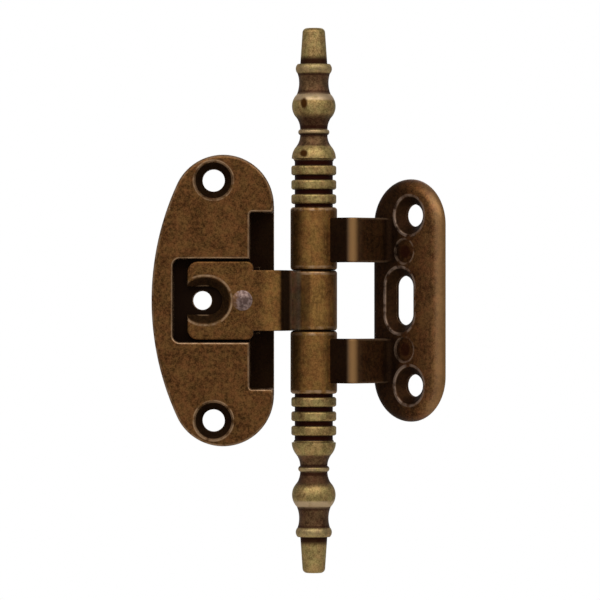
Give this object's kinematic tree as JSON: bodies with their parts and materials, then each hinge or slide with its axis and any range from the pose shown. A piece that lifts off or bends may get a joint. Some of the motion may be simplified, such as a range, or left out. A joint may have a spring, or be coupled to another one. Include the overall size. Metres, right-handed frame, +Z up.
{
  "type": "adjustable furniture hinge",
  "caption": "Semi-concealed furniture hinge: half-moon door plate with a sliding tongue, cranked frame leaf with countersunk holes and a height slot, and a barrel with turned finials.",
  "frame": {"origin": "midway between the door plate's two countersunk screw holes, on the plane of its back", "axes": "+X from the door plate towards the barrel, +Z up along the barrel, -Y out of the door plate's face"},
  "size_m": [0.0551, 0.0139, 0.1028],
  "materials": {
    "door_plate_finish": "antique brass on zinc casting, brown, rubbed bright on the edges",
    "tongue_finish": "antique brass on zinc casting, olive gold",
    "bare_rivet": "bare peened steel",
    "leaf_finish": "antique brass on zinc casting, brown gold",
    "pin_steel": "plain steel",
    "turned_brass": "turned brass, burnished rings with dark grooves"
  },
  "bodies": {
    "door_side": {"door_plate": "door_plate_finish"},
    "tongue": {"slide_tongue": "tongue_finish", "guide_rivet": "bare_rivet"},
    "leaf": {"frame_leaf": "leaf_finish", "hinge_pin": "pin_steel", "top_finial": "turned_brass", "bottom_finial": "turned_brass"}
  },
  "joints": [
    {"name": "tongue_adjust", "type": "slide", "parent": "door_side", "child": "tongue", "axis": [1, 0, 0], "range_m": [-0.0015, 0.0015]},
    {"name": "leaf_swing", "type": "hinge", "parent": "tongue", "child": "leaf", "pos_m": [0.0188, 0.0036, 0], "axis": [0, 0, 1], "range_deg": [-137, 43]}
  ]
}
